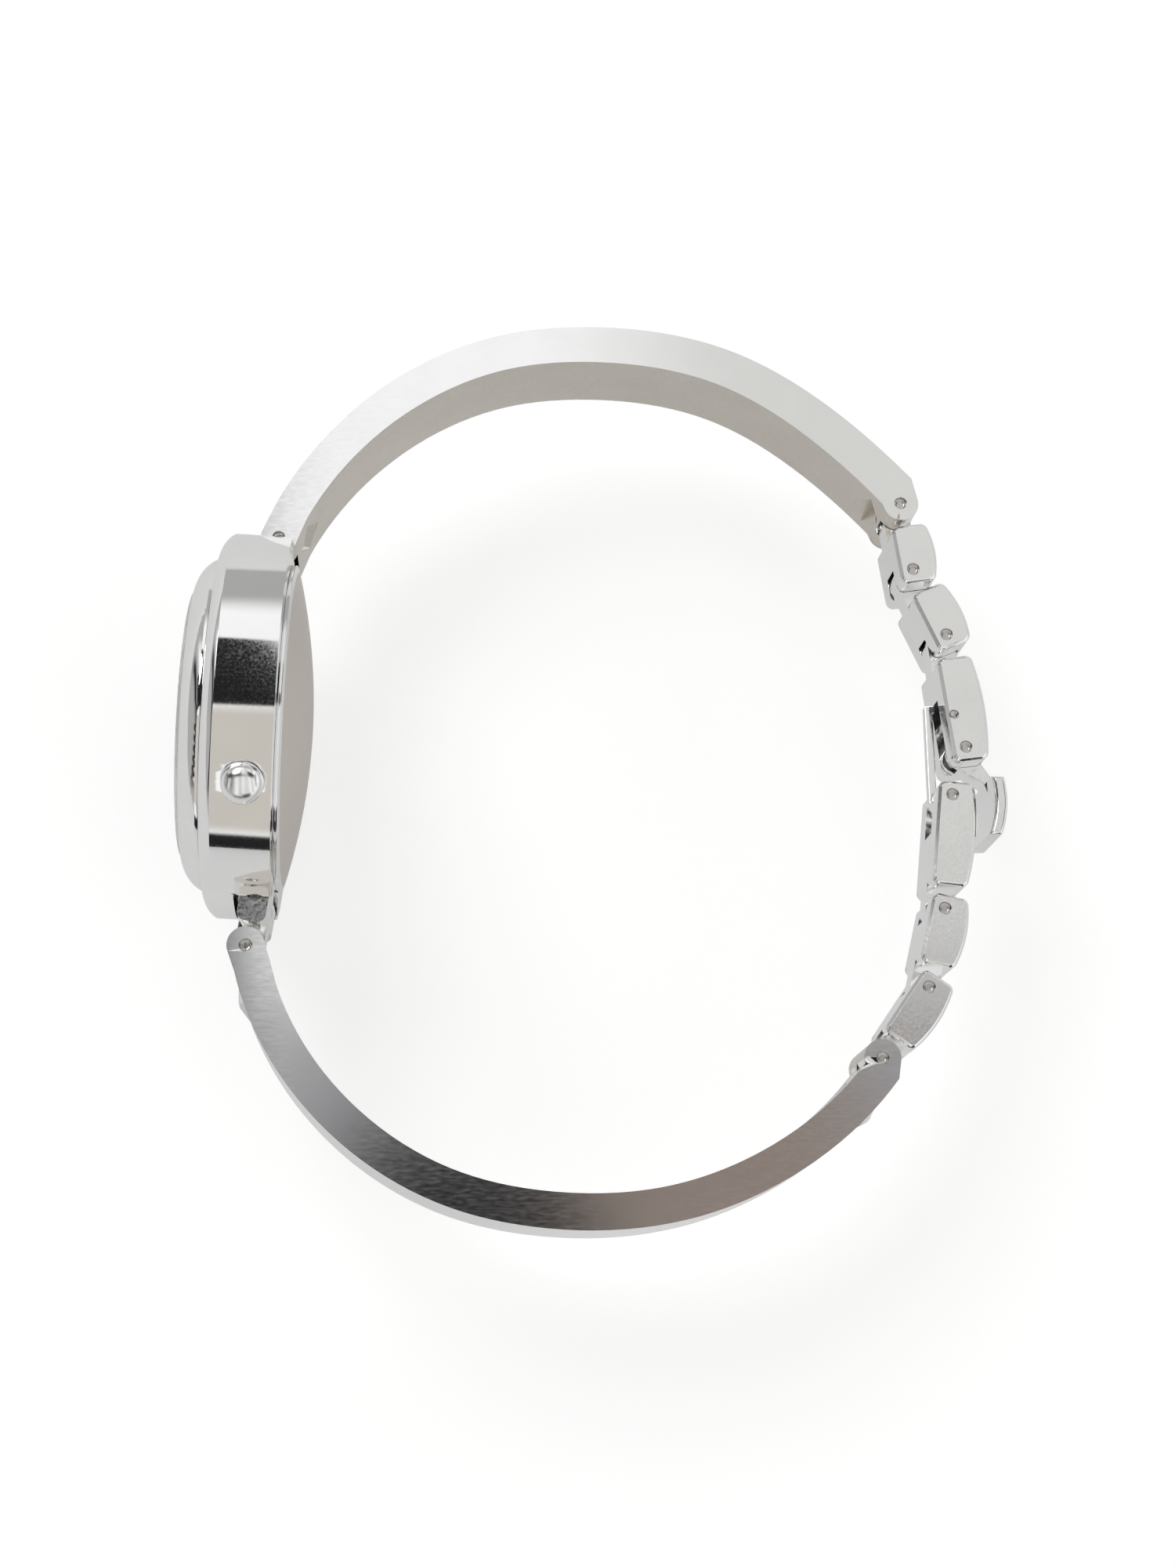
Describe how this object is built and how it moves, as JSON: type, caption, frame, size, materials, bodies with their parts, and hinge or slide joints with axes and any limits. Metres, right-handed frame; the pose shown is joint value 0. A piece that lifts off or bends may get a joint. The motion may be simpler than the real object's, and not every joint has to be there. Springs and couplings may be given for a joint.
{
  "type": "half-bangle wristwatch",
  "caption": "Ladies' wristwatch with a round case on two rigid curved bangle arms, closed by a short link bracelet with a fold-over clasp.",
  "frame": {"origin": "centre of the bounding box at its lowest level, in the plane that the case's edge rests on", "axes": "+Z along the wrist axis, crown side up; the dial faces -X; +Y from the 6 o'clock side of the case to the 12 o'clock side"},
  "size_m": [0.0588, 0.0658, 0.0278],
  "materials": {
    "polished_steel": "polished",
    "satin_steel": "satin, finely turned",
    "pin_steel": "plain",
    "crystal": "clear, polished",
    "gasket": "matt",
    "dial": "satin silver-white",
    "hands": "polished",
    "brass": "plain",
    "holder": "matt",
    "cell": "plain",
    "copper_wire": "wound wire, lacquered"
  },
  "bodies": {
    "case": {"case_middle": "polished_steel", "bezel": "polished_steel", "crystal": "crystal", "crystal_gasket": "gasket", "case_back": "satin_steel", "dial": "dial", "movement_holder": "holder", "main_plate": "brass", "train_bridge": "brass", "battery": "cell", "battery_strap": "pin_steel", "coil": "copper_wire", "movement_screws": "pin_steel", "crown_tube": "pin_steel", "crown_gasket": "gasket"},
    "rotor": {"step_rotor": "pin_steel"},
    "minute": {"cannon_pinion": "brass", "minute_hand": "hands"},
    "minute_wheel": {"minute_wheel": "brass"},
    "hour": {"hour_wheel": "brass", "hour_hand": "hands"},
    "setting": {"setting_lever": "pin_steel"},
    "crown": {"crown": "polished_steel", "winding_stem": "pin_steel"},
    "upper_arm": {"upper_arm": "polished_steel", "upper_spring_bar": "pin_steel", "upper_arm_tip_pin": "pin_steel"},
    "link_a": {"link_a": "polished_steel", "link_a_pin": "pin_steel"},
    "link_b": {"link_b": "polished_steel", "link_b_pin": "pin_steel"},
    "link_c": {"link_c": "polished_steel", "lever_pin": "pin_steel", "clasp_bar": "pin_steel"},
    "clasp_lever": {"clasp_lever": "polished_steel"},
    "lower_end_link": {"lower_end_link": "polished_steel", "lower_spring_bar": "pin_steel"},
    "lower_arm": {"lower_arm": "polished_steel", "lower_arm_pin": "pin_steel", "lower_arm_tip_pin": "pin_steel"},
    "link_f": {"link_f": "polished_steel", "link_f_pin": "pin_steel"},
    "link_e": {"link_e": "polished_steel", "link_e_pin": "pin_steel"},
    "link_d": {"link_d": "polished_steel", "blade_pin": "pin_steel"},
    "clasp_blade": {"clasp_blade": "polished_steel"}
  },
  "joints": [
    {"name": "upper_arm_hinge", "type": "hinge", "parent": "case", "child": "upper_arm", "pos_m": [-0.02248, 0.01631, 0.01375], "axis": [0, 0, 1], "range_deg": [0, 15]},
    {"name": "link_a_hinge", "type": "hinge", "parent": "upper_arm", "child": "link_a", "pos_m": [0.02268, 0.01946, 0.01375], "axis": [0, 0, 1], "range_deg": [0, 20]},
    {"name": "link_b_hinge", "type": "hinge", "parent": "link_a", "child": "link_b", "pos_m": [0.02338, 0.01441, 0.01375], "axis": [0, 0, 1], "range_deg": [0, 10]},
    {"name": "link_c_hinge", "type": "hinge", "parent": "link_b", "child": "link_c", "pos_m": [0.02558, 0.00946, 0.01375], "axis": [0, 0, 1], "range_deg": [0, 15]},
    {"name": "lever_hinge", "type": "hinge", "parent": "link_c", "child": "clasp_lever", "pos_m": [0.02658, 0.00106, 0.01375], "axis": [0, 0, 1], "range_deg": [0, 90]},
    {"name": "end_link_hinge", "type": "hinge", "parent": "case", "child": "lower_end_link", "pos_m": [-0.02385, -0.00986, 0.01375], "axis": [0, 0, 1], "range_deg": [-20, 0]},
    {"name": "lower_arm_hinge", "type": "hinge", "parent": "lower_end_link", "child": "lower_arm", "pos_m": [-0.02442, -0.01324, 0.01375], "axis": [0, 0, 1], "range_deg": [-20, 0]},
    {"name": "link_f_hinge", "type": "hinge", "parent": "lower_arm", "child": "link_f", "pos_m": [0.01958, -0.02124, 0.01375], "axis": [0, 0, 1], "range_deg": [0, 20]},
    {"name": "link_e_hinge", "type": "hinge", "parent": "link_f", "child": "link_e", "pos_m": [0.02308, -0.01629, 0.01375], "axis": [0, 0, 1], "range_deg": [0, 20]},
    {"name": "link_d_hinge", "type": "hinge", "parent": "link_e", "child": "link_d", "pos_m": [0.02448, -0.01069, 0.01375], "axis": [0, 0, 1], "range_deg": [0, 20]},
    {"name": "blade_hinge", "type": "hinge", "parent": "link_d", "child": "clasp_blade", "pos_m": [0.02543, -0.00244, 0.01375], "axis": [0, 0, 1], "range_deg": [0, 45]},
    {"name": "crown_pull", "type": "slide", "parent": "case", "child": "setting", "axis": [-0.0262, -0.4993, 0.866], "range_m": [0, 0.0009]},
    {"name": "crown_turn", "type": "hinge", "parent": "setting", "child": "crown", "pos_m": [-0.02426, -0.00323, 0.02501], "axis": [-0.0262, -0.4993, 0.866], "continuous": true},
    {"name": "minute_turn", "type": "hinge", "parent": "case", "child": "minute", "pos_m": [-0.02601, 0.00337, 0.01375], "axis": [-0.9986, 0.0523, 0], "continuous": true},
    {"name": "minute_wheel_turn", "type": "hinge", "parent": "case", "child": "minute_wheel", "pos_m": [-0.02512, 0.00126, 0.013], "axis": [-0.9986, 0.0523, 0], "continuous": true},
    {"name": "hour_turn", "type": "hinge", "parent": "case", "child": "hour", "pos_m": [-0.02601, 0.00337, 0.01375], "axis": [-0.9986, 0.0523, 0], "continuous": true},
    {"name": "rotor_turn", "type": "hinge", "parent": "case", "child": "rotor", "pos_m": [-0.02321, -0.00038, 0.01115], "axis": [-0.9986, 0.0523, 0], "continuous": true}
  ],
  "couplings": [
    {"joint": "minute_wheel_turn", "follows": "minute_turn", "ratio": -0.33333},
    {"joint": "hour_turn", "follows": "minute_turn", "ratio": 0.083333}
  ]
}
